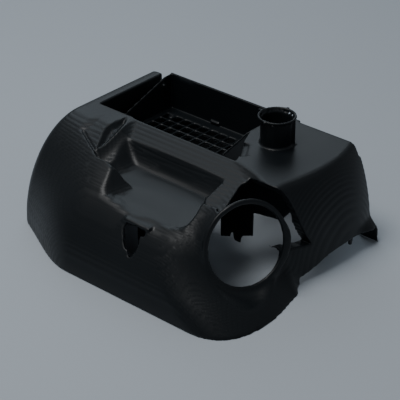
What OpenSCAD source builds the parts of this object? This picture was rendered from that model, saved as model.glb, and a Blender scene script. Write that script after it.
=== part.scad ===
// Injection moulded housing shell of a small floor appliance.
// One moulding: a barrel-shaped skin, open underneath and at the back, with a
// filter bay, a round spigot, a round end opening and a scooped hand grip.
// Millimetres, +Z up, X along the barrel, the front of the barrel faces -Y.

/* [Body] */
// Height of the flat top above the lower rim
top_h = 127.5; // [115:0.5:140]
// Wall thickness of the skin
wall = 2.8; // [2:0.1:4]
// Depth of the barrel from the flat top's front edge to the front rim
barrel_d = 156.5; // [145:0.5:165]
// Reach of the left dome beyond the flap edge, at the rim
dome_reach = 35.5; // [25:0.5:45]
// Height of the hand grip's floor above the lower rim
grip_z = 91; // [85:0.5:100]

/* [Filter bay] */
// Width of the bay between its side walls
bay_w = 184; // [160:1:190]
// Depth of the grille floor below the flat top
bay_depth = 51.5; // [35:0.5:60]
// Spacing of the grille bars
grille_pitch = 15.5; // [12:0.5:20]
// Width of a grille bar
grille_bar = 3.6; // [2:0.1:5]

/* [Spigot] */
// Outer radius of the spigot tube
spigot_r = 20.7; // [19:0.1:24]
// Bore radius of the spigot tube
spigot_bore_r = 18.6; // [16:0.1:21]
// Outer radius of the bell-mouthed rim
rim_r = 24.6; // [23:0.1:27]
// Height of the spigot above the flat top
spigot_h = 38; // [25:1:45]

/* [Round end opening] */
// Radius of the round opening in the right end
hole_r = 49.6; // [46:0.2:52]
// Outer radius of the ring around it
ring_r = 56.2; // [54:0.2:60]
// Depth of the ring along its axis, below the end's own plane
ring_t = 5.6; // [3:0.1:9]

/* [Screw posts] */
// Radius of the screw posts
post_r = 5; // [4:0.5:7]
// Radius of the pilot holes in the posts
pilot_r = 1.75; // [1:0.05:2.5]
// Depth of the pilot holes
pilot_d = 18; // [10:1:25]

/* [Mesh] */
// Rays from the rim to the top
n_up = 27; // [18:1:34]

/* [Hidden] */
H = top_h;
YC = 7;              // front edge of the flat top
UA = 1.74; UB = 1.98; EE = 2.8;
end_c = [152, -52.5, 76.5];         // plane of the right end
end_n = [0.955, -0.245, 0.167];
hole_c = [152, -51.6, 73.8];        // centre and axis of the round opening
hole_n0 = [0.955, -0.375, 0.255];
hole_n = hole_n0 / norm(hole_n0);
shift = [-1.25, -4.5, 0];   // puts the origin under the middle of the body
bay_x0 = 32 - bay_w; bay_x1 = 32;
bay_y0 = 27; bay_y1 = 156;
y_back = 158.5;
grille_z = H - bay_depth;
spigot_c = [79, 92.5];
// rim of the hand grip and of the leaf-shaped hollow, seen from above
grip_pts = [[-79, 40], [79, 40], [79, -8], [80, -15], [80, -29], [78, -39], [93, -63], [96, -79], [94, -89],
    [89, -98], [74, -107], [59, -116], [51, -121], [7, -118], [-2, -111], [-13, -107], [-24, -104], [-35, -100],
    [-40, -92], [-43, -82], [-49, -68], [-62, -62], [-70, -50], [-70, -40], [-77, -22], [-79, -8]];
leaf_pts = [[-111.5, -8], [-109, 8], [-107, 21.7], [-99, 11.4], [-91.5, -7], [-90, -17], [-89.5, -29], [-90, -42],
    [-91.5, -48.5], [-93, -49], [-101, -33], [-108, -20]];
// outer edge of the crescent gap, seen along X
gap_edge = [[2, 127], [7.5, 123], [13, 113], [17, 101], [20.5, 87], [24.5, 73], [30, 59], [36.5, 47]];

// ---- smooth blending helpers ----
function pos(a) = max(a, 0);
function smin(a, b, k) = let (h = max(k - abs(a - b), 0) / k) min(a, b) - h * h * k / 4;
function smax(a, b, k) = -smin(-a, -b, k);
function sst(a, b, x) = let (t = max(0, min(1, (x - a) / (b - a)))) t * t * (3 - 2 * t);
function mix(a, b, t) = a + (b - a) * t;
// signed distance to a polygon, negative inside
function seg_d2(p, a, b) = let (e = b - a, w = p - a, d = w - e * max(0, min(1, (w * e) / (e * e)))) d * d;
function poly_d(p, pts) =
    let (n = len(pts),
         d = min([for (i = [0:n - 1]) seg_d2(p, pts[i], pts[(i + 1) % n])]),
         c = [for (i = [0:n - 1]) let (a = pts[i], b = pts[(i + 1) % n])
             if ((a[1] > p[1]) != (b[1] > p[1]) && p[0] < (b[0] - a[0]) * (p[1] - a[1]) / (b[1] - a[1]) + a[0]) 1])
    (len(c) % 2 == 1 ? -1 : 1) * sqrt(d);

// ---- the barrel with its left dome ----
function main_q(x, y, z) =
    let (v = pos(YC - y) / barrel_d,
         u = pos(-50 - x) / 152.5,
         e = pos(-167 - x) / dome_reach,
         r2 = v * v * (1 + UA * pow(u, UB)) + pow(e, EE),
         w = pos(z) / H)
    (sqrt(r2 + w * w) - 1) * H * 0.95;

// ---- the right side: flank behind, flattened end in front ----
function end_x(y, z) =
    let (pl = end_c[0] + (-end_n[1] * (y - end_c[1]) - end_n[2] * (z - end_c[2])) / end_n[0],
         fl = 205 - 14 * sst(-75, 20, y) - 1.3 * z)
    smax(pl, fl, 24);
function flank_x(y, z) =
    let (top = 164 - 12 * pow((max(y, 5) - 80) / 72, 2),
         g = pow(pos(1 - pow(pos(z) / H, 2)), 0.8))
    top + (24 + 8 * sst(60, 152, y)) * g + 11 * sst(110, 150, y) * sst(36, 17, z);
function right_q(x, y, z) = (x - mix(end_x(y, z), flank_x(y, z), sst(-8, 22, y))) * 0.95;

// ---- the sloped strip in front of the bay, with the shoulder left of it ----
function main_z(y) = H * sqrt(pos(1 - pow(pos(YC - y) / barrel_d, 2)));
function slope_z(y) = H - 0.3057 * (27.5 - y);
function ramp_z(x, y) = H - (0.3057 - 0.1 * sst(-105, -150, x)) * (-6 - 0.2 * (x + 107) - y) + 0.3 * pos(-132 - x);
function strip_z(x, y) =
    let (b = slope_z(y),
         rim = -90 - 0.6 * pos(y + 5),
         l = smax(b, smin(b + rim + 8.4 - x, ramp_z(x, y), 1.2), 9),
         r = b + 0.35 * (x - 68 - 41 * sst(30, 3, y)),
         edge = -61 + 0.5 * pos(-79 - x))
    smax(smax(l, r, 5), b + 2.5 * (edge + 5 - y), 2);

// ---- the scooped hand grip ----
function pocket_z(x, y) =
    let (level = min(strip_z(x, y), main_z(y)),
         flr = grip_z - 0.06 * (-50 - y) + 0.00035 * pow(x - 20, 2),
         rim = -4.5 - 0.00045 * x * x,
         bk = slope_z(rim) + 2.4 * (y - rim),
         m = mix(mix(0.95, 3, sst(0, 45, x)), 0.55, sst(-80, -104, y)))
    smax(smax(flr, bk, 20), level + m * poly_d([x, y], grip_pts), 8);

// ---- the leaf-shaped hollow at the left end of the strip ----
function leaf_z(x, y) = let (b = min(ramp_z(x, y), H)) smax(b - 7, b + 1.3 * poly_d([x, y], leaf_pts), 3);

// ---- the round opening: distance from its axis and along it ----
function hole_rs(x, y, z) = let (d = [x, y, z] - hole_c, s = d * hole_n) [sqrt(pos(d * d - s * s)), s];

// ---- the whole outer form: negative inside ----
function barrel_q(x, y, z) =
    smax(main_q(x, y, z), right_q(x, y, z), 9 - 5 * sst(40, 120, y) + 22 * sst(10, -60, y) + 27 * sst(-60, -95, y));
function padded_q(m, x, y, z) =
    let (rs = hole_rs(x, y, z), r = rs[0], s = rs[1],
         p0 = smax(abs(s + 30) - 30, r - (hole_r + 5 + 0.12 * s), 5),
         p1 = smax(p0, smin(y + 58 + 0.35 * (x - 94), z - 42, 6), 4))
    smax(smin(m, p1, 12), (s - 0.09 * pow(pos(r - 52), 2)) * 0.8, 6);
function body_q(x, y, z) =
    let (m0 = barrel_q(x, y, z),
         m1 = x > 60 && y < 60 ? padded_q(m0, x, y, z) : m0,
         m2 = smax(m1, (z - strip_z(x, y)) * 0.95, 2.5),
         m3 = x < -78 && x > -125 && y > -62 && y < 35 && z > 85 ? smax(m2, (z - leaf_z(x, y)) * 0.85, 1.5) : m2)
    x > -100 && x < 112 && y > -135 && y < 12 && z > 60
        ? smax(m3, (z - pocket_z(x, y)) * 0.8, 2.5 + 6 * sst(-70, -105, y) * sst(20, 50, x)) : m3;

// ---- rays: stations around the plan, each [origin x, origin y, plan angle] ----
sx0 = -130; sx1 = 122; cy = 60;
n_back = 5; n_fan = 12; n_end = 26;
// the stations across the body stand closer where the form turns quickly
mid_x = concat([for (i = [0:1]) -130 + 8 * i], [for (i = [0:6]) -114 + 4 * i], [for (i = [0:7]) -86 + 6 * i],
    [for (i = [0:9]) -38 + 11 * i], [for (i = [0:4]) 72 + 6 * i], [for (i = [0:2]) 102 + 7 * i]);
stations = concat(
    [for (i = [0:n_back - 1]) [sx0, y_back + (cy - y_back) * i / n_back, 180]],
    [for (i = [0:n_fan - 1]) [sx0, cy, 180 + 90 * i / n_fan]],
    [for (x = mid_x) [x, cy, 270]],
    [for (i = [0:n_end - 1]) [sx1, cy, 270 + 90 * i / n_end]],
    [for (i = [0:n_back]) [sx1, cy + (y_back - cy) * i / n_back, 360]]);
th_max = 83;
// elevation of a ray, closer together over the strip and the grip
function elev(j) = let (f = j / n_up)
    f < 0.15 ? 20 * f / 0.15 : f < 0.87 ? 20 + 48 * (f - 0.15) / 0.72 : 68 + (th_max - 68) * (f - 0.87) / 0.13;
function ray_q(s, th, t) =
    body_q(s[0] + cos(s[2]) * cos(th) * t, s[1] + sin(s[2]) * cos(th) * t, sin(th) * t);
// walk outwards in steps for the last inside sample, then halve the interval
function coarse(s, th, t, best) = t > 290 ? best
    : coarse(s, th, t + 12, ray_q(s, th, t) < 0 ? t : best);
function halve(s, th, lo, hi, n) = n == 0 ? (lo + hi) / 2
    : let (m = (lo + hi) / 2) ray_q(s, th, m) < 0 ? halve(s, th, m, hi, n - 1) : halve(s, th, lo, m, n - 1);
function skin_t(s, th) = let (c = coarse(s, th, 36, 30)) halve(s, th, c, c + 12, 13);
function skin_pt(s, j) =
    let (th = j == n_up ? th_max : elev(j), t = skin_t(s, th))
    [s[0] + cos(s[2]) * cos(th) * t, s[1] + sin(s[2]) * cos(th) * t, j == n_up ? H : sin(th) * t];
function grad(p) =
    let (e = 0.8)
    [body_q(p[0] + e, p[1], p[2]) - body_q(p[0] - e, p[1], p[2]),
     body_q(p[0], p[1] + e, p[2]) - body_q(p[0], p[1] - e, p[2]),
     body_q(p[0], p[1], p[2] + e) - body_q(p[0], p[1], max(p[2] - e, 0))];
outer = [for (s = stations) [for (j = [0:n_up]) skin_pt(s, j)]];
ns = len(stations);
// the inner face: moved in by the wall along the surface normal, flat at rim, top and back
inner = [for (i = [0:ns - 1]) [for (j = [0:n_up])
    let (p = outer[i][j], g0 = grad(p),
         g = [g0[0], (i == 0 || i == ns - 1) ? 0 : g0[1], j == 0 ? 0 : g0[2]],
         n = j == n_up ? [0, 0, 1] : g / norm(g))
    p - n * wall]];
m1 = n_up + 1;
no = ns * m1;
// two more points carry the flat top: the middle of its back edge, outside and inside
flat = concat([for (r = outer) each r], [for (r = inner) each r],
    [[-4, y_back, H], [-4, y_back, H - wall]]);
co = 2 * no; ci = co + 1;
function vo(i, j) = i * m1 + j;
function vi(i, j) = no + i * m1 + j;
skin_faces = concat(
    [for (i = [0:ns - 2]) for (j = [0:n_up - 1]) each [
        [vo(i, j), vo(i, j + 1), vo(i + 1, j + 1)], [vo(i, j), vo(i + 1, j + 1), vo(i + 1, j)],
        [vi(i, j), vi(i + 1, j + 1), vi(i, j + 1)], [vi(i, j), vi(i + 1, j), vi(i + 1, j + 1)]]],
    [for (i = [0:ns - 2]) each [
        [vo(i, 0), vo(i + 1, 0), vi(i + 1, 0)], [vo(i, 0), vi(i + 1, 0), vi(i, 0)]]],
    [for (j = [0:n_up - 1]) each [
        [vo(0, j), vi(0, j), vi(0, j + 1)], [vo(0, j), vi(0, j + 1), vo(0, j + 1)],
        [vo(ns - 1, j), vi(ns - 1, j + 1), vi(ns - 1, j)], [vo(ns - 1, j), vo(ns - 1, j + 1), vi(ns - 1, j + 1)]]],
    [for (i = [0:ns - 2]) each [
        [co, vo(i + 1, n_up), vo(i, n_up)], [ci, vi(i, n_up), vi(i + 1, n_up)]]],
    [[vo(0, n_up), vi(0, n_up), ci], [vo(0, n_up), ci, co],
     [co, ci, vi(ns - 1, n_up)], [co, vi(ns - 1, n_up), vo(ns - 1, n_up)]]);

module skin() {
    polyhedron(points = flat, faces = skin_faces, convexity = 12);
}

// ---- where a line along an axis leaves the outer form ----
function leave_q(p, d, t) = let (q = p + d * t) body_q(q[0], q[1], q[2]);
function leave(p, d, lo, hi, n = 18) = n == 0 ? (lo + hi) / 2
    : let (m = (lo + hi) / 2) leave_q(p, d, m) < 0 ? leave(p, d, m, hi, n - 1) : leave(p, d, lo, m, n - 1);
function surf_x(y, z) = 140 + leave([140, y, z], [1, 0, 0], 0, 75);
function surf_left(y, z) = -120 - leave([-120, y, z], [-1, 0, 0], 0, 100);
function surf_y(x, z) = -60 - leave([x, -60, z], [0, -1, 0], 0, 100);
function surf_z(x, y) = 60 + leave([x, y, 60], [0, 0, 1], 0, 80);

// ---- a bar through a row of sections, each a list of points ----
function tri_vol(p, f) = (cross(p[f[0]], p[f[1]]) * p[f[2]]) / 6;
function total(v, i = 0, s = 0) = i == len(v) ? s : total(v, i + 1, s + v[i]);
module bar(sections) {
    k = len(sections[0]);
    n = len(sections);
    pts = [for (s = sections) each s];
    f = concat(
        [for (i = [0:n - 2]) for (j = [0:k - 1]) let (a = i * k + j, b = i * k + (j + 1) % k) each [
            [a, b, b + k], [a, b + k, a + k]]],
        [for (j = [1:k - 2]) [0, j + 1, j]],
        [for (j = [1:k - 2]) [(n - 1) * k, (n - 1) * k + j, (n - 1) * k + j + 1]]);
    v = total([for (t = f) tri_vol(pts, t)]);
    polyhedron(points = pts, faces = v < 0 ? f : [for (t = f) [t[0], t[2], t[1]]], convexity = 8);
}

// a plate between two X planes, drawn as [y, z] points
module side_plate(x0, x1, pts) {
    translate([x0, 0, 0]) rotate([90, 0, 90]) linear_extrude(height = x1 - x0) polygon(pts);
}
// a plate between two Y planes, drawn as [x, z] points
module cross_plate(y0, y1, pts) {
    translate([0, y1, 0]) rotate([90, 0, 0]) linear_extrude(height = y1 - y0) polygon(pts);
}
// turns +Z to the axis of the round end opening
module at_hole() {
    translate(hole_c)
        rotate([0, acos(hole_n[2]), atan2(hole_n[1], hole_n[0])]) children();
}

// ---- cuts through the bare skin ----
module top_opening() {
    translate([0, 0, H - 24]) linear_extrude(height = 60)
        polygon([[-161.5, 28], [70, 25], [66, 36], [48, 65], [34.5, 96], [34.5, 156], [-100, 156], [-100, 180], [-161.5, 180]]);
    // the flat top's back edge stands a little in front of the bay's back wall
    translate([67, 154.4, 40]) cube([93, 20, 100]);
    // end of the left flap
    translate([-230, 149, -20]) cube([74.5, 20, 170]);
}
module crescent_gap() {
    // between the ring and the flat top and flank
    intersection() {
        side_plate(100, 210, concat([[2, 170]], gap_edge, [[-6, 53], [-80, 80], [-80, 170]]));
        translate([0, 0, 40]) linear_extrude(height = 140)
            polygon([[107.5, 60], [107.5, 0], [104, -2.5], [104, -7], [118.93, -66.7], [210, -98.6], [210, 60]]);
    }
}
module flank_arch() {
    // the right flank's lower edge rises towards the tail
    side_plate(140, 260, [[16.4, -20], [17.6, 7], [25, 8.5], [64, 21.7], [108, 25.3], [135, 23], [149, 20.5], [190, 20.5], [190, -20]]);
}
module latch_slot() {
    cross_plate(-170, -90, [[18.6, 75.2], [18.2, 79], [21, 81], [25, 80.3], [30.5, 81.3], [35.7, 82.7], [40, 80.6],
        [48.8, 80.6], [50.5, 77], [43.7, 75.4], [44.9, 71.8], [47.7, 65.6], [47.5, 61], [44.7, 57.4], [44.8, 54.2],
        [40.8, 52.4], [37.3, 56.1], [36, 58.4], [30.6, 59.4], [24.9, 66]]);
}
// curved line pressed into the left shoulder
module swoosh() {
    path = [for (x = [-66, -79, -87, -95, -103, -111, -119, -127, -135]) [x, -58.8 + 0.5 * pos(-79 - x)]];
    bar([for (i = [0:len(path) - 1]) let (x = path[i][0], y = path[i][1],
        d = i == 0 || i == len(path) - 1 ? 0.3 : 1.5) [
        [x, y - 1.6, surf_z(x, y - 1.6) + 0.6], [x, y, surf_z(x, y) - d], [x, y + 1.6, surf_z(x, y + 1.6) + 0.6]]]);
}

// ---- ring around the round opening ----
module ring() {
    at_hole() difference() {
        translate([0, 0, -ring_t]) cylinder(h = ring_t + 0.7, r = ring_r, $fn = 96);
        translate([0, 0, -ring_t - 1]) cylinder(h = ring_t + 4, r = hole_r, $fn = 96);
    }
}
// wall turned in along the gap's outer edge
module gap_flange() {
    e = concat([[3, 126.3], [7.5, 123], [11.9, 115]], [for (i = [2:len(gap_edge) - 1]) gap_edge[i]]);
    n = len(e);
    bar([for (i = [0:n - 1]) let (p = e[i], t = e[min(i + 1, n - 1)] - e[max(i - 1, 0)],
        o = p + [-t[1], t[0]] / norm(t) * 2.2,
        zo = min(o[1], H - 0.5),
        xs = surf_x(p[0], p[1]) - 1.2, xo = surf_x(o[0], zo) - 1.2,
        depth = 12.6 + 4.2 * sst(100, 60, p[1])) [
        [xs, p[0], p[1]], [xo, o[0], zo],
        [i < 3 ? 109 : xo - depth, o[0], zo], [i < 3 ? 109 : xs - depth, p[0], p[1]]]]);
}
// raised brow over the latch slot
module brow() {
    e = [[17, 74.5, 8, 75.5], [18.6, 77.6, 11.2, 80.9], [20.5, 81, 14.7, 86.4], [28, 81.8, 24, 86.8], [36, 82.7, 36, 86.5],
         [44, 80.8, 44.5, 86.2], [52.8, 81.2, 55.5, 85.8]];
    bar([for (s = e) let (yi = surf_y(s[0], s[1]), yo = surf_y(s[2], s[3]),
        ri = 0.3 + 3.2 * max(0, min(1, (s[1] - 80.5) / 5.5)), ro = 0.3 + 3.2 * max(0, min(1, (s[3] - 80.5) / 5.5))) [
        [s[0], yi - ri, s[1]], [s[2], yo - ro, s[3]], [s[2], yo + 1.6, s[3]], [s[0], yi + 1.6, s[1]]]]);
}

module grille() {
    difference() {
        translate([bay_x0 - 10, bay_y0 - 1, grille_z - 4]) cube([bay_w + 11, bay_y1 - bay_y0 + 2, 4]);
        for (i = [0:10]) for (j = [0:6])
            translate([bay_x0 + 7 + i * grille_pitch, bay_y0 + 9 + j * grille_pitch, grille_z - 6])
                cube([grille_pitch - grille_bar, grille_pitch - grille_bar, 8]);
    }
}

module bay_walls() {
    // left rib, its top edge falls towards the front
    side_plate(bay_x0 - 2.5, bay_x0, [[bay_y0 - 2.5, 62], [y_back, 62], [y_back, H - 0.2], [146, 127], [bay_y0 - 2.5, 87.6]]);
    // inner plate of the left flap
    translate([bay_x0 - 11.5, bay_y0 - 1, 62]) cube([2.5, 148.6 - bay_y0 + 1, H - 62.6]);
    // right wall
    side_plate(bay_x1, bay_x1 + 2.8, [[bay_y0 - 2.5, 62], [y_back, 62], [y_back, H - 1], [94, H - 1], [bay_y0 - 2.5, 110]]);
    // back wall
    translate([bay_x0 - 2.5, bay_y1, 8]) cube([bay_w + 36, 2.5, H - 8]);
    // front wall under the near edge of the opening
    translate([bay_x0 - 11.5, bay_y0 - 2.5, 62]) cube([bay_w + 14, 2.5, H - 62 - 2.4]);
    // the flap's end and the bay's corner are closed below the grille
    cross_plate(146.2, 148.8, concat([[bay_x0 - 1, 74], [bay_x0 - 1, 8]],
        [for (z = [8:11:74]) [surf_left(147.7, z) + 1.4 + (z - 41) * (z - 41) * 0.0001, z]]));
    translate([bay_x0 - 2.5, 146.4, 8]) cube([2.5, y_back - 146.4, 56]);
    // peg and hook bar
    translate([-153, 137, 114]) cube([5, 4, 3.5]);
    translate([-82, 153, 78]) cube([16, 4, 3]);
}

// web under the flat top, behind the round opening
module web() {
    cross_plate(22.5, 25, [[48, 124.5], [48, 11], [64, 17], [67, 27], [70, 14.5], [80, 13.5], [83, 25], [100, 32],
        [101, 65], [144, 71], [150, 80], [157, 88], [157, 110], [150, 124.5]]);
}

module posts() {
    for (p = [[-12, -56], [50, -56]])
        translate([p[0], p[1], 4]) cylinder(h = grip_z - 5.4, r = post_r, $fn = 40);
    for (p = [[-138, 140], [18, 140]])
        translate([p[0], p[1], 4]) cylinder(h = grille_z - 6, r = post_r, $fn = 40);
}

module spigot() {
    translate([spigot_c[0], spigot_c[1], 0]) {
        translate([0, 0, H - 12]) cylinder(h = spigot_h + 11, r = spigot_r, $fn = 72);
        // bell-mouthed rim
        translate([0, 0, H + spigot_h - 3.1])
            rotate_extrude($fn = 72) polygon([[19, 0], [rim_r - 0.9, 0], [rim_r, 0.9], [rim_r, 2.2], [rim_r - 0.9, 3.1], [19, 3.1]]);
        // fillet at the foot
        translate([0, 0, H - 0.5])
            rotate_extrude($fn = 72) polygon([[19.5, 0], [spigot_r + 1.6, 0], [spigot_r + 1.1, 0.8], [spigot_r, 1.8], [19.5, 1.8]]);
        // lugs on the rim and a rib on the tube
        for (a = [[97, 28.4], [180, 29.6], [270, 26.2]])
            rotate([0, 0, a[0]]) translate([23, -1.6, H + spigot_h - 4.7]) cube([a[1] - 23, 3.2, 4.6]);
        rotate([0, 0, 25]) translate([19.5, -1.3, H - 1]) cube([3.9, 2.6, spigot_h - 2.5]);
    }
}

module solid_parts() {
    difference() {
        skin();
        top_opening();
        crescent_gap();
        flank_arch();
    }
    gap_flange();
    ring();
    brow();
    bay_walls();
    grille();
    web();
    posts();
    spigot();
    // tail gusset
    cross_plate(155.7, 158.3, [[163, 0], [195, 0], [192.5, 21], [180.5, 24]]);
    // small hook under the right flank
    side_plate(184, 186.5, [[107, 14], [113, 14], [115, 34], [104, 34]]);
}

module cuts() {
    // round end opening
    at_hole() translate([0, 0, -20]) cylinder(h = 60, r = hole_r, $fn = 96);
    latch_slot();
    // spigot bore, flared at its mouth
    translate([spigot_c[0], spigot_c[1], H - 20]) cylinder(h = 100, r = spigot_bore_r, $fn = 72);
    translate([spigot_c[0], spigot_c[1], H + spigot_h - 6]) rotate_extrude($fn = 72)
        polygon([[0, 0], [spigot_bore_r, 0], [spigot_bore_r + 0.5, 1.5], [spigot_bore_r + 1.4, 3], [spigot_bore_r + 2.4, 4.6],
                 [spigot_bore_r + 2.8, 6], [spigot_bore_r + 2.8, 9], [0, 9]]);
    // pilot holes
    for (p = [[-12, -56], [50, -56], [-138, 140], [18, 140]])
        translate([p[0], p[1], 3]) cylinder(h = pilot_d + 1, r = pilot_r, $fn = 32);
}

module housing() {
    color("#1d2124") translate(shift) difference() {
        solid_parts();
        cuts();
    }
}

housing();
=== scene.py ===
import math

import bpy
import numpy as np
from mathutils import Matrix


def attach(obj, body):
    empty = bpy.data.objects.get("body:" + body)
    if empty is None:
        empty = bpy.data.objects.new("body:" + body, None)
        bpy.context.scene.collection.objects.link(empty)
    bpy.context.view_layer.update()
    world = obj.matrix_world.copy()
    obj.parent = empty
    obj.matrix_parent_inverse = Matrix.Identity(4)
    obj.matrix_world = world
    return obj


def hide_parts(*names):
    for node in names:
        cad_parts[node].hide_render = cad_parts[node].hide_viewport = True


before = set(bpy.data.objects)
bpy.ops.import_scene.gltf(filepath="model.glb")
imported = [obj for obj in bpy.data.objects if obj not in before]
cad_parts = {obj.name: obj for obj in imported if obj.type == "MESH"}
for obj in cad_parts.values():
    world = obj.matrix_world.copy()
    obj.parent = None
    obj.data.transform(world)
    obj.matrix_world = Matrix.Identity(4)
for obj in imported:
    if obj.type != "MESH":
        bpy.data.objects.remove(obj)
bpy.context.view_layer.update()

import openvdb
from mathutils import Matrix, Vector

STEP = 2.12  # spacing of the field samples, mm

# ---------------------------------------------------------------- sizes, mm
H = 127.5
WALL = 2.8
YC, DEPTH = 7.0, 156.5
UA, UB, EE = 1.74, 1.98, 2.8
REACH = 35.5
END_C = (152.0, -52.5, 76.5)  # the plane of the right end
END_N = (0.955, -0.245, 0.167)
HOLE_C = np.array([152.0, -51.6, 73.8])
HOLE_N = np.array([0.955, -0.375, 0.255])
HOLE_N = HOLE_N / np.linalg.norm(HOLE_N)
HOLE_R = 49.6
Y_BACK = 158.5
BAY = (-152.0, 32.0, 27.0, 156.0)
GRILLE_Z = 76.0
TUBE = (79.0, 92.5)
# rim of the hand grip and of the leaf-shaped hollow, seen from above
GRIP = [(-79, -8), (-79, 40), (79, 40), (79, -8), (80, -15), (80, -29), (78, -39), (93, -63), (96, -79), (94, -89), (89, -98), (74, -107), (59, -116), (51, -121), (7, -118), (-2, -111), (-13, -107), (-24, -104), (-35, -100), (-40, -92), (-43, -82), (-49, -68), (-62, -62), (-70, -50), (-70, -40), (-77, -22)]
LEAF = [(-111.5, -8), (-109, 8), (-107, 21.7), (-99, 11.4), (-91.5, -7), (-90, -17), (-89.5, -29), (-90, -42), (-91.5, -48.5), (-93, -49), (-101, -33), (-108, -20)]
SHIFT = np.array([-1.25, -4.5, 0.0])  # from the modelling origin to the part's own


# ---------------------------------------------------------------- blends
def pos(a):
    return np.maximum(a, 0.0)


def smin(a, b, k):
    h = np.maximum(k - np.abs(a - b), 0.0) / k
    return np.minimum(a, b) - h * h * (k * 0.25)


def smax(a, b, k):
    return -smin(-a, -b, k)


def sst(a, b, x):
    t = np.clip((x - a) / (b - a), 0.0, 1.0)
    return t * t * (3.0 - 2.0 * t)


def mix(a, b, t):
    return a + (b - a) * t


# ---------------------------------------------------------------- the outer form
def main_q(x, y, z):
    v = pos(YC - y) / DEPTH
    u = pos(-50.0 - x) / 152.5
    e = pos(-167.0 - x) / REACH
    r2 = v**2 * (1.0 + UA * u**UB) + e**EE
    w = pos(z) / H
    return (np.sqrt(r2 + w * w) - 1.0) * H * 0.95


def end_x(y, z):
    pl = END_C[0] + (-END_N[1] * (y - END_C[1]) - END_N[2] * (z - END_C[2])) / END_N[0]
    fl = 205.0 - 14.0 * sst(-75.0, 20.0, y) - 1.3 * z
    return smax(pl, fl, 24.0)


def flank_x(y, z):
    top = 164.0 - 12.0 * ((np.maximum(y, 5.0) - 80.0) / 72.0) ** 2
    g = pos(1.0 - (pos(z) / H) ** 2) ** 0.8
    return top + (24.0 + 8.0 * sst(60.0, 152.0, y)) * g + 11.0 * sst(110.0, 150.0, y) * sst(36.0, 17.0, z)


def right_q(x, y, z):
    return (x - mix(end_x(y, z), flank_x(y, z), sst(-8.0, 22.0, y))) * 0.95


def slope_z(y):
    return H - 0.3057 * (27.5 - y)


def main_z(y):
    return H * np.sqrt(pos(1.0 - (pos(YC - y) / DEPTH) ** 2))


def poly(px, py, pts):
    """Signed distance to a polygon in a plane."""
    px, py = np.broadcast_arrays(px, py)
    d = np.full(px.shape, 1e9, dtype=np.float32)
    s = np.ones(px.shape, dtype=np.float32)
    n = len(pts)
    for i in range(n):
        ax, ay = pts[i]
        bx, by = pts[(i + 1) % n]
        ex, ey = bx - ax, by - ay
        wx, wy = px - ax, py - ay
        t = np.clip((wx * ex + wy * ey) / (ex * ex + ey * ey), 0.0, 1.0)
        d = np.minimum(d, (wx - ex * t) ** 2 + (wy - ey * t) ** 2)
        c1, c2, c3 = py >= ay, py < by, ex * wy > ey * wx
        s = np.where((c1 & c2 & c3) | (~c1 & ~c2 & ~c3), -s, s)
    return s * np.sqrt(d)


def hole_rs(x, y, z):
    """Distance from the round opening's axis, and the distance along it."""
    dx, dy, dz = x - HOLE_C[0], y - HOLE_C[1], z - HOLE_C[2]
    s = dx * HOLE_N[0] + dy * HOLE_N[1] + dz * HOLE_N[2]
    return np.sqrt(pos(dx * dx + dy * dy + dz * dz - s * s)), s


def ramp_z(x, y):
    """The shoulder left of the strip, a little higher than the strip."""
    return H - (0.3057 - 0.1 * sst(-105.0, -150.0, x)) * (-6.0 - 0.2 * (x + 107.0) - y) + 0.3 * pos(-132.0 - x)


def strip_z(x, y):
    b = slope_z(y)
    rim = -90.0 - 0.6 * pos(y + 5.0)
    left = smax(b, smin(b + 1.0 * (rim + 8.4 - x), ramp_z(x, y), 1.2), 9.0)
    right = b + 0.35 * (x - 68.0 - 41.0 * sst(30.0, 3.0, y))
    edge = -61.0 + 0.5 * pos(-79.0 - x)
    groove = 1.8 * np.exp(-(((y - edge - 2.2) / 1.3) ** 2)) * sst(-143.0, -128.0, x) * sst(-62.0, -72.0, x)
    return smax(smax(left, right, 5.0), b + 2.5 * (edge + 5.0 - y), 2.0) - groove


def pocket_z(x, y):
    level = np.minimum(strip_z(x, y), main_z(y))
    floor = 91.0 - 0.06 * (-50.0 - y) + 0.00035 * (x - 20.0) ** 2
    rim = -4.5 - 0.00045 * (x - 0.0) ** 2
    back = slope_z(rim) + 2.4 * (y - rim)
    m = mix(mix(0.95, 3.0, sst(0.0, 45.0, x)), 0.55, sst(-80.0, -104.0, y))
    side = level + m * poly(x, y, GRIP)
    return smax(smax(floor, back, 20.0), side, 8.0)


def leaf_z(x, y):
    base = np.minimum(ramp_z(x, y), H)
    return smax(base - 7.0, base + 1.3 * poly(x, y, LEAF), 3.0)


def outer(x, y, z):
    m = smax(main_q(x, y, z), right_q(x, y, z), 9.0 - 5.0 * sst(40.0, 120.0, y) + 22.0 * sst(10.0, -60.0, y) + 27.0 * sst(-60.0, -95.0, y))
    r, s = hole_rs(x, y, z)
    pad = smax(np.abs(s + 30.0) - 30.0, r - (HOLE_R + 5.0 + 0.12 * s), 5.0)
    pad = smax(pad, smin(y + 58.0 + 0.35 * (x - 94.0), z - 42.0, 6.0), 4.0)
    m = smin(m, pad, 12.0)
    m = smax(m, (s - 0.09 * pos(r - 52.0) ** 2) * 0.8, 6.0)
    m = smax(m, (z - strip_z(x, y)) * 0.95, 2.5)
    m = smax(m, (z - leaf_z(x, y)) * 0.85, 1.5)
    return smax(m, (z - pocket_z(x, y)) * 0.8, 2.5 + 6.0 * sst(-70.0, -105.0, y) * sst(20.0, 50.0, x))


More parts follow.
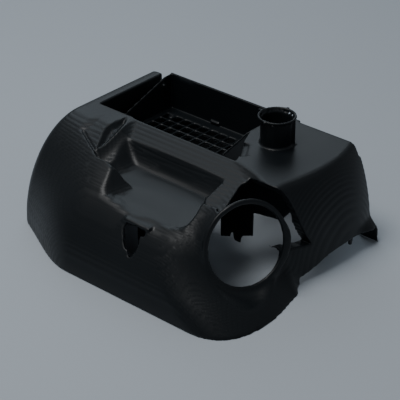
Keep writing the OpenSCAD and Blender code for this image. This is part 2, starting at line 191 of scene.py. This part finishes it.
# ---------------------------------------------------------------- the field
class Field:
    """Samples of a signed distance on a regular grid: negative in the plastic."""

    def __init__(self, lo, hi, h):
        self.h = h
        self.ax = [np.arange(a, b + h, h, dtype=np.float32) for a, b in zip(lo, hi)]
        self.lo = np.array([a[0] for a in self.ax])
        self.F = None

    def part(self, lo, hi, pad):
        cut, out = [], []
        for i in range(3):
            a = max(int(np.searchsorted(self.ax[i], lo[i] - pad)) - 1, 0)
            b = min(int(np.searchsorted(self.ax[i], hi[i] + pad)) + 1, len(self.ax[i]))
            cut.append(slice(a, b))
            shape = [1, 1, 1]
            shape[i] = -1
            out.append(self.ax[i][a:b].reshape(shape))
        return tuple(cut), out

    def add(self, fn, lo, hi, k=1.2):
        s, (x, y, z) = self.part(lo, hi, k + 3 * self.h)
        self.F[s] = smin(self.F[s], fn(x, y, z), k)

    def cut(self, fn, lo, hi, k=1.0):
        s, (x, y, z) = self.part(lo, hi, k + 3 * self.h)
        self.F[s] = smax(self.F[s], -fn(x, y, z), k)


def box(lo, hi, r=0.4):
    c = [(a + b) / 2 for a, b in zip(lo, hi)]
    e = [(b - a) / 2 - r for a, b in zip(lo, hi)]

    def fn(x, y, z):
        qx, qy, qz = np.abs(x - c[0]) - e[0], np.abs(y - c[1]) - e[1], np.abs(z - c[2]) - e[2]
        out = np.sqrt(pos(qx) ** 2 + pos(qy) ** 2 + pos(qz) ** 2)
        return out + np.minimum(np.maximum(np.maximum(qx, qy), qz), 0.0) - r

    return fn


def prism(axis, pts, a, b, k=0.8):
    """A polygon pulled along an axis from a to b. Its points are the other two axes in X, Y, Z order."""

    def fn(x, y, z):
        p = [x, y, z]
        along = p.pop(axis)
        return smax(poly(p[0], p[1], pts), np.abs(along - (a + b) / 2) - (b - a) / 2, k)

    return fn


def ring_section(r, s, r0, r1, s0, s1, rnd):
    qx, qy = np.abs(r - (r0 + r1) / 2) - (r1 - r0) / 2 + rnd, np.abs(s - (s0 + s1) / 2) - (s1 - s0) / 2 + rnd
    return np.sqrt(pos(qx) ** 2 + pos(qy) ** 2) + np.minimum(np.maximum(qx, qy), 0.0) - rnd


def build_field():
    f = Field((-208.0, -156.0, -4.0), (210.0, 164.0, 172.0), STEP)
    _, (x, y, z) = f.part((-1e3,) * 3, (1e3,) * 3, 0.0)
    q = outer(x, y, z).astype(np.float32)
    g = np.gradient(q, STEP)
    n = np.sqrt(g[0] ** 2 + g[1] ** 2 + g[2] ** 2)
    q = q / np.maximum(n, 0.35)
    del g, n
    f.F = smax(q, -(q + WALL), 0.8)
    f.F = smax(f.F, -z, 0.8)
    f.F = smax(f.F, y - Y_BACK, 0.8)
    big = 400.0
    # opening of the bay in the flat top
    f.cut(
        prism(2, [(-161.5, 28.0), (70.0, 25.0), (66.0, 36.0), (48.0, 65.0), (34.5, 96.0), (34.5, 156.0), (-100.0, 156.0), (-100.0, 180.0), (-161.5, 180.0)], H - 24.0, H + 40.0),
        (-170.0, 20.0, H - 30.0), (80.0, 162.0, H + 20.0), 1.0,
    )
    # the flat top's back edge stands a little in front of the bay's back wall
    f.cut(box((67.0, 154.4, 40.0), (160.0, 180.0, 140.0)), (67.0, 145.0, 40.0), (160.0, 164.0, 140.0), 1.0)
    # end of the left flap
    f.cut(box((-230.0, 149.0, -20.0), (-155.5, 180.0, 150.0)), (-230.0, 145.0, -20.0), (-155.5, 164.0, 150.0), 1.0)

    # crescent gap beside the round opening
    crescent_pts = [(2.0, 170.0), (2.0, 127.0), (7.5, 123.0), (13.0, 113.0), (17.0, 101.0), (20.5, 87.0), (24.5, 73.0), (30.0, 59.0), (36.5, 47.0), (-6.0, 53.0), (-80.0, 80.0), (-80.0, 170.0)]

    def crescent(x, y, z):
        d = poly(y, z, crescent_pts) + 0.0 * x
        left = 104.0 + 0.25 * pos(-7.0 - y) + 3.5 * sst(-2.5, 0.0, y) - x
        return smax(smax(d, left, 0.8), -58.0 - 0.35 * (x - 94.0) - y, 0.8)

    f.cut(crescent, (100.0, -90.0, 40.0), (206.0, 40.0, 140.0), 1.0)

    # wall turned in along the gap's outer edge
    def crescent_wall(x, y, z):
        d = poly(y, z, crescent_pts) + 0.0 * x
        q = outer(x, y, z)
        g = smax(smax(np.abs(d - 1.1) - 1.1, q + 0.4, 0.8), -q - 12.0 - 4.0 * sst(100.0, 60.0, z), 0.8)
        return smax(g, 107.0 - x, 0.8)

    f.add(crescent_wall, (104.0, 0.0, 44.0), (200.0, 42.0, 128.0), 0.8)

    # round end opening, and the ring that bridges the gap
    def bore(x, y, z):
        r, s = hole_rs(x, y, z)
        return smax(r - HOLE_R, np.abs(s - 10.0) - 30.0, 1.0)

    f.cut(bore, (100.0, -120.0, 5.0), (200.0, 20.0, 150.0), 0.8)

    def ring(x, y, z):
        r, s = hole_rs(x, y, z)
        low = ((x - HOLE_C[0]) * 0.3655 + (y - HOLE_C[1]) * 0.9308) / np.maximum(r, 1.0)
        free = sst(-4.0, 4.0, y + 58.0 + 0.35 * (x - 94.0)) * sst(38.0, 50.0, z)
        return ring_section(r, s, HOLE_R, 56.2 + 3.6 * sst(0.5, 1.0, low) * sst(95.0, 70.0, z), -5.6, mix(-0.5, 0.7, free), 2.4)

    f.add(ring, (120.0, -112.0, 10.0), (185.0, 12.0, 135.0), 1.0)

    # the right flank's lower edge rises towards the tail
    f.cut(
        prism(0, [(16.4, -20.0), (17.6, 7.0), (25.0, 8.5), (64.0, 21.7), (108.0, 25.3), (135.0, 23.0), (149.0, 20.5), (190.0, 20.5), (190.0, -20.0)], 140.0, 260.0),
        (140.0, 10.0, -20.0), (206.0, 164.0, 30.0), 1.0,
    )
    # latch slot with a raised brow
    brow_pts = [(8.0, 75.5), (14.7, 86.5), (20.0, 87.0), (55.5, 85.8), (52.8, 81.2), (44.0, 80.8), (36.0, 82.7), (20.5, 81.0), (17.0, 74.5)]

    def brow(x, y, z):
        q = outer(x, y, z)
        rise = 0.3 + 3.2 * np.clip((z - 80.5) / 5.5, 0.0, 1.0)
        return smax(smax(poly(x, z, brow_pts) + 0.0 * y, q - rise, 0.7), -q - 2.6, 0.8)

    f.add(brow, (4.0, -128.0, 70.0), (60.0, -98.0, 92.0), 1.2)
    f.cut(
        prism(1, [(18.6, 75.2), (18.2, 79.0), (21.0, 81.0), (25.0, 80.3), (30.5, 81.3), (35.7, 82.7), (40.0, 80.6), (48.8, 80.6), (50.5, 77.0), (43.7, 75.4), (44.9, 71.8), (47.7, 65.6), (47.5, 61.0), (44.7, 57.4), (44.8, 54.2), (40.8, 52.4), (37.3, 56.1), (36.0, 58.4), (30.6, 59.4), (24.9, 66.0)], -170.0, -90.0),
        (10.0, -160.0, 45.0), (60.0, -95.0, 92.0), 0.8,
    )

    # ---- walls of the bay
    x0, x1, y0, y1 = BAY
    top = Y_BACK + 1.0
    # left rib, its top edge falls towards the front, and the flap's inner plate
    f.add(prism(0, [(y0 - 2.5, 62.0), (Y_BACK, 62.0), (Y_BACK, H - 0.2), (146.0, 127.0), (y0 - 2.5, 87.6)], x0 - 2.5, x0), (x0 - 4, y0 - 4, 60.0), (x0 + 2, top, H + 2), 0.6)
    f.add(box((x0 - 11.5, y0 - 1.0, 62.0), (x0 - 9.0, 149.0, H - 0.6)), (x0 - 13, y0 - 3, 60.0), (x0 - 7, 150.0, H + 2), 0.6)
    # right wall
    f.add(prism(0, [(y0 - 2.5, 62.0), (Y_BACK, 62.0), (Y_BACK, H - 1.0), (94.0, H - 1.0), (y0 - 2.5, 110.0)], x1, x1 + 2.5), (x1 - 2, y0 - 4, 60.0), (x1 + 4, top, H + 2), 0.6)
    # back wall
    f.add(box((x0 - 2.5, y1, 8.0), (x1 + 33.5, Y_BACK, H)), (x0 - 4, y1 - 2, 6.0), (x1 + 36, top, H + 2), 0.6)
    # front wall
    f.add(box((x0 - 11.5, y0 - 2.5, 62.0), (x1 + 2.5, y0, H - 2.4)), (x0 - 13, y0 - 4, 60.0), (x1 + 4, y0 + 2, H), 0.6)

    # the flap's end and the bay's corner are closed below the grille
    def flap_end(x, y, z):
        return smax(smax(np.abs(y - 147.7) - 1.3, np.abs(z - 41.0) - 33.0, 0.5), outer(x, y, z) + 0.4, 0.8) + 0.0 * x

    f.add(flap_end, (-204.0, 145.0, 6.0), (x0 - 1.0, 150.0, 75.0), 0.8)
    f.add(box((x0 - 2.5, 146.4, 8.0), (x0, Y_BACK, 64.0)), (x0 - 4, 145.0, 6.0), (x0 + 1, top, 65.0), 0.6)

    # ---- grille floor
    def grille(x, y, z):
        plate = box((x0 - 10.0, y0 - 1.0, GRILLE_Z - 4.0), (x1 + 1.0, y1 + 1.0, GRILLE_Z), 0.3)(x, y, z)
        p, bar = 15.5, 3.6
        ux, uy = x - (x0 + 7.0 - bar / 2), y - (y0 + 9.0 - bar / 2)
        dx = (p - bar) / 2 - np.abs(ux - np.floor(ux / p) * p - p / 2)
        dy = (p - bar) / 2 - np.abs(uy - np.floor(uy / p) * p - p / 2)
        inx = smax(-ux, ux - 11 * p, 0.5)
        iny = smax(-uy, uy - 7 * p, 0.5)
        hole = smax(smax(-dx, -dy, 0.8), smax(inx, iny, 0.5), 0.5)
        return smax(plate, -hole, 0.6)

    f.add(grille, (x0 - 11, y0 - 2, GRILLE_Z - 6), (x1 + 2, y1 + 2, GRILLE_Z + 2), 0.5)

    # ---- web under the flat top
    web_pts = [(48.0, 124.5), (48.0, 11.0), (64.0, 17.0), (67.0, 27.0), (70.0, 14.5), (80.0, 13.5), (83.0, 25.0), (100.0, 32.0), (101.0, 65.0), (144.0, 71.0), (150.0, 80.0), (157.0, 88.0), (157.0, 110.0), (150.0, 124.5)]
    f.add(prism(1, web_pts, 22.5, 25.0), (46.0, 20.5, 9.0), (160.0, 27.0, 126.0), 0.6)

    # ---- sloped patch beside the opening's slanted edge
    patch_pts = [(40.0, 66.0), (62.5, 66.0), (74.0, 60.5), (77.5, 45.0), (64.0, 32.0), (60.0, 44.0)]

    def patch(x, y, z):
        d = -((x - 63.0) * 0.846 + (y - 66.0) * 0.533)
        return smax(poly(x, y, patch_pts) + 0.0 * z, (H - 0.36 * d - z) * 0.9, 2.5)

    def patch_back(x, y, z):
        d = -((x - 63.0) * 0.846 + (y - 66.0) * 0.533)
        g = smax(poly(x, y, [(48.0, 65.0), (64.0, 68.0), (77.0, 62.0), (80.0, 44.0), (66.0, 36.0)]) + 0.0 * z, (z - H + 0.6), 0.6)
        return smax(g, (H - 2.8 - 0.36 * d - z) * 0.9, 0.6)

    f.add(patch_back, (46.0, 34.0, 112.0), (82.0, 70.0, H), 0.6)
    f.cut(patch, (38.0, 30.0, 114.0), (80.0, 68.0, H + 3.0), 0.5)

    # ---- screw posts
    def post(cx, cy, z1):
        def fn(x, y, z):
            r = np.sqrt((x - cx) ** 2 + (y - cy) ** 2)
            return smax(smax(r - 5.0, np.abs(z - (4.0 + z1) / 2) - (z1 - 4.0) / 2, 0.6), -smax(r - 1.75, z - 22.0, 0.4), 0.5)

        f.add(fn, (cx - 6, cy - 6, 2.0), (cx + 6, cy + 6, z1), 1.0)

    for cx, cy, z1 in ((-12.0, -56.0, 89.6), (50.0, -56.0, 89.6), (-138.0, 140.0, 74.0), (18.0, 140.0, 74.0)):
        post(cx, cy, z1)

    # ---- spigot
    tx, ty = TUBE

    def tube(x, y, z):
        r = np.sqrt((x - tx) ** 2 + (y - ty) ** 2)
        body = smax(r - 20.7, np.abs(z - (H - 12.0 + 164.5) / 2) - (164.5 - H + 12.0) / 2, 0.8)
        rim = ring_section(r, z, 18.0, 24.6, 162.4, 165.5, 0.9)
        g = smin(body, rim, 2.4)
        for a, reach in ((97.0, 28.4), (180.0, 29.6), (270.0, 26.2)):
            c, s = math.cos(math.radians(a)), math.sin(math.radians(a))
            u, v = (x - tx) * c + (y - ty) * s, -(x - tx) * s + (y - ty) * c
            g = smin(g, box((23.5, -1.6, 160.8), (reach, 1.6, 165.4), 0.5)(u, v, z), 0.6)
        c, s = math.cos(math.radians(25.0)), math.sin(math.radians(25.0))
        u, v = (x - tx) * c + (y - ty) * s, -(x - tx) * s + (y - ty) * c
        g = smin(g, box((19.5, -1.3, H - 1.0), (23.4, 1.3, 162.0), 0.5)(u, v, z), 0.8)
        return g

    f.add(tube, (tx - 32, ty - 32, H - 14.0), (tx + 32, ty + 32, 167.0), 1.6)

    def tube_bore(x, y, z):
        r = np.sqrt((x - tx) ** 2 + (y - ty) ** 2)
        return smax(r - 18.6 - 2.8 * sst(159.5, 165.5, z), 107.5 - z, 0.5)

    f.cut(tube_bore, (tx - 23, ty - 23, 107.5), (tx + 23, ty + 23, 171.0), 0.8)

    # ---- tail gusset and the small hook under the flank
    f.add(prism(1, [(163.0, 0.0), (195.0, 0.0), (192.5, 21.0), (180.5, 24.0)], 155.7, 158.3), (160.0, 154.0, -2.0), (198.0, 160.0, 26.0), 0.8)
    f.add(prism(0, [(107.0, 14.0), (113.0, 14.0), (115.0, 34.0), (104.0, 34.0)], 184.0, 186.5), (182.0, 102.0, 11.0), (188.0, 117.0, 36.0), 0.8)
    # ---- peg and hook in the bay
    f.add(box((-153.0, 137.0, 114.0), (-148.0, 141.0, 117.5)), (-155.0, 135.0, 112.0), (-146.0, 143.0, 119.0), 0.6)
    f.add(box((-82.0, 153.0, 78.0), (-66.0, 157.0, 81.0)), (-84.0, 151.0, 76.0), (-64.0, 158.0, 83.0), 0.6)
    return f


# ---------------------------------------------------------------- field to mesh
def sample(F, p):
    """F between its samples, at index positions p."""
    n = np.array(F.shape)
    p = np.clip(p, 0.0, n - 1.001)
    i = p.astype(np.int32)
    t = (p - i).astype(np.float32)
    out = np.zeros(len(p), dtype=np.float32)
    for dx in (0, 1):
        wx = t[:, 0] if dx else 1.0 - t[:, 0]
        for dy in (0, 1):
            wy = t[:, 1] if dy else 1.0 - t[:, 1]
            for dz in (0, 1):
                wz = t[:, 2] if dz else 1.0 - t[:, 2]
                out += wx * wy * wz * F[i[:, 0] + dx, i[:, 1] + dy, i[:, 2] + dz]
    return out


def field_normals(F, p):
    g = np.empty((len(p), 3), dtype=np.float32)
    for k in range(3):
        d = np.zeros(3)
        d[k] = 0.6
        g[:, k] = sample(F, p + d) - sample(F, p - d)
    return g / np.maximum(np.linalg.norm(g, axis=1, keepdims=True), 1e-6)


def to_mesh(f, name, adapt):
    F = np.clip(f.F, -4.0 * f.h, 4.0 * f.h).astype(np.float32)
    for k in range(3):  # nothing touches the edge of the grid
        end = [slice(None)] * 3
        end[k] = 0
        F[tuple(end)] = 4.0 * f.h
        end[k] = -1
        F[tuple(end)] = 4.0 * f.h
    grid = openvdb.FloatGrid(4.0 * f.h)
    grid.copyFromArray(F)
    pts, tris, quads = grid.convertToPolygons(isovalue=0.0, adaptivity=adapt)
    p = np.asarray(pts, dtype=np.float64)
    nrm = field_normals(F, p)
    for _ in range(2):  # onto the surface itself
        v = sample(F, p) / f.h
        p = p - nrm * np.clip(v, -0.3, 0.3)[:, None]
        nrm = field_normals(F, p)
    co = (p * f.h + f.lo + SHIFT) / 1000.0
    tris, quads = np.asarray(tris, dtype=np.int32).reshape(-1, 3), np.asarray(quads, dtype=np.int32).reshape(-1, 4)
    # the right way round: the first faces' normals must agree with the field
    if len(quads):
        q = quads[:: max(1, len(quads) // 4000)]
        fn = np.cross(co[q[:, 1]] - co[q[:, 0]], co[q[:, 2]] - co[q[:, 0]])
        if (fn * nrm[q[:, 0]]).sum() < 0:
            tris, quads = tris[:, ::-1], quads[:, ::-1]
    me = bpy.data.meshes.new(name)
    nt, nq = len(tris), len(quads)
    me.vertices.add(len(co))
    me.vertices.foreach_set("co", co.astype(np.float32).ravel())
    me.loops.add(3 * nt + 4 * nq)
    me.loops.foreach_set("vertex_index", np.concatenate([tris.ravel(), quads.ravel()]).astype(np.int32))
    me.polygons.add(nt + nq)
    starts = np.concatenate([np.arange(nt) * 3, 3 * nt + np.arange(nq) * 4]).astype(np.int32)
    me.polygons.foreach_set("loop_start", starts)
    me.polygons.foreach_set("use_smooth", np.ones(nt + nq, dtype=bool))
    me.update()
    me.validate()
    me.normals_split_custom_set_from_vertices(nrm.astype(np.float64).tolist())
    o = bpy.data.objects.new(name, me)
    bpy.context.scene.collection.objects.link(o)
    print("mesh", name, "vertices", len(co), "triangles", nt + 2 * nq)
    return o


# ---------------------------------------------------------------- material
def plastic():
    m = bpy.data.materials.new("shell_plastic")
    m.use_nodes = True
    t = m.node_tree
    t.nodes.clear()
    out = t.nodes.new("ShaderNodeOutputMaterial")
    b = t.nodes.new("ShaderNodeBsdfPrincipled")
    t.links.new(b.outputs["BSDF"], out.inputs["Surface"])
    b.inputs["IOR"].default_value = 1.5
    b.inputs["Specular IOR Level"].default_value = 0.3
    co = t.nodes.new("ShaderNodeTexCoord")
    n1 = t.nodes.new("ShaderNodeTexNoise")
    n1.inputs["Scale"].default_value = 9.0
    n1.inputs["Detail"].default_value = 4.0
    t.links.new(co.outputs["Object"], n1.inputs["Vector"])
    r1 = t.nodes.new("ShaderNodeValToRGB")
    r1.color_ramp.elements[0].position = 0.3
    r1.color_ramp.elements[0].color = (0.0030, 0.0046, 0.0060, 1)
    r1.color_ramp.elements[1].position = 0.72
    r1.color_ramp.elements[1].color = (0.0044, 0.0064, 0.0080, 1)
    t.links.new(n1.outputs["Fac"], r1.inputs["Fac"])
    t.links.new(r1.outputs["Color"], b.inputs["Base Color"])
    n2 = t.nodes.new("ShaderNodeTexNoise")
    n2.inputs["Scale"].default_value = 26.0
    n2.inputs["Detail"].default_value = 3.0
    t.links.new(co.outputs["Object"], n2.inputs["Vector"])
    mr = t.nodes.new("ShaderNodeMapRange")
    mr.inputs["To Min"].default_value = 0.37
    mr.inputs["To Max"].default_value = 0.43
    t.links.new(n2.outputs["Fac"], mr.inputs["Value"])
    t.links.new(mr.outputs["Result"], b.inputs["Roughness"])
    n3 = t.nodes.new("ShaderNodeTexNoise")
    n3.inputs["Scale"].default_value = 1400.0
    n3.inputs["Detail"].default_value = 2.0
    t.links.new(co.outputs["Object"], n3.inputs["Vector"])
    bump = t.nodes.new("ShaderNodeBump")
    bump.inputs["Strength"].default_value = 0.12
    bump.inputs["Distance"].default_value = 0.0002
    t.links.new(n3.outputs["Fac"], bump.inputs["Height"])
    t.links.new(bump.outputs["Normal"], b.inputs["Normal"])
    return m


def floor_material():
    m = bpy.data.materials.new("floor_paper")
    m.use_nodes = True
    t = m.node_tree
    b = t.nodes["Principled BSDF"]
    n = t.nodes.new("ShaderNodeTexNoise")
    n.inputs["Scale"].default_value = 3.0
    r = t.nodes.new("ShaderNodeValToRGB")
    r.color_ramp.elements[0].color = (0.36, 0.40, 0.44, 1)
    r.color_ramp.elements[1].color = (0.40, 0.44, 0.48, 1)
    t.links.new(n.outputs["Fac"], r.inputs["Fac"])
    t.links.new(r.outputs["Color"], b.inputs["Base Color"])
    b.inputs["Roughness"].default_value = 0.85
    return m


# ---------------------------------------------------------------- build
field = build_field()
shell = to_mesh(field, "housing_shell", 0.2)
shell.data.materials.append(plastic())
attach(shell, "root")
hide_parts("housing")

# ---------------------------------------------------------------- floor, light, camera
fm = bpy.data.meshes.new("floor")
s = 6.0
fm.from_pydata([(-s, -s, -0.0004), (s, -s, -0.0004), (s, s, -0.0004), (-s, s, -0.0004)], [], [(0, 1, 2, 3)])
floor = bpy.data.objects.new("floor", fm)
bpy.context.scene.collection.objects.link(floor)
floor.data.materials.append(floor_material())

world = bpy.data.worlds.new("studio")
bpy.context.scene.world = world
world.use_nodes = True
bg = world.node_tree.nodes["Background"]
bg.inputs["Color"].default_value = (0.86, 0.92, 1.0, 1)
bg.inputs["Strength"].default_value = 0.2


def area(name, loc, target, size, power, color=(1, 1, 1)):
    d = bpy.data.lights.new(name, "AREA")
    d.shape = "RECTANGLE"
    d.size, d.size_y = size
    d.energy = power
    d.color = color
    o = bpy.data.objects.new(name, d)
    o.location = loc
    o.rotation_euler = (Vector(target) - Vector(loc)).to_track_quat("-Z", "Y").to_euler()
    bpy.context.scene.collection.objects.link(o)
    return o


area("key", (-0.35, -0.5, 2.1), (0.0, 0.0, 0.05), (1.2, 1.0), 32.0)
area("back", (-1.5, 1.35, 1.55), (0.0, 0.0, 0.05), (1.7, 1.3), 9.5, (0.78, 0.9, 1.0))

cam_d = bpy.data.cameras.new("camera")
cam_d.sensor_width = 36.0
cam_d.lens = 135.0
cam = bpy.data.objects.new("camera", cam_d)
bpy.context.scene.collection.objects.link(cam)
az, el = math.radians(41.0), math.radians(30.0)
right = Vector((math.cos(az), math.sin(az), 0.0))
up = Vector((-math.sin(az) * math.sin(el), math.cos(az) * math.sin(el), math.cos(el)))
back = Vector((math.sin(az) * math.cos(el), -math.cos(az) * math.cos(el), math.sin(el)))
target = Vector(((16.25 + SHIFT[0]) / 1000, (21.25 + SHIFT[1]) / 1000, 0.0525))
at = target + back * 1.875
cam.matrix_world = Matrix(((right.x, up.x, back.x, at.x), (right.y, up.y, back.y, at.y), (right.z, up.z, back.z, at.z), (0, 0, 0, 1)))
cam_d.clip_end = 20.0
bpy.context.scene.camera = cam
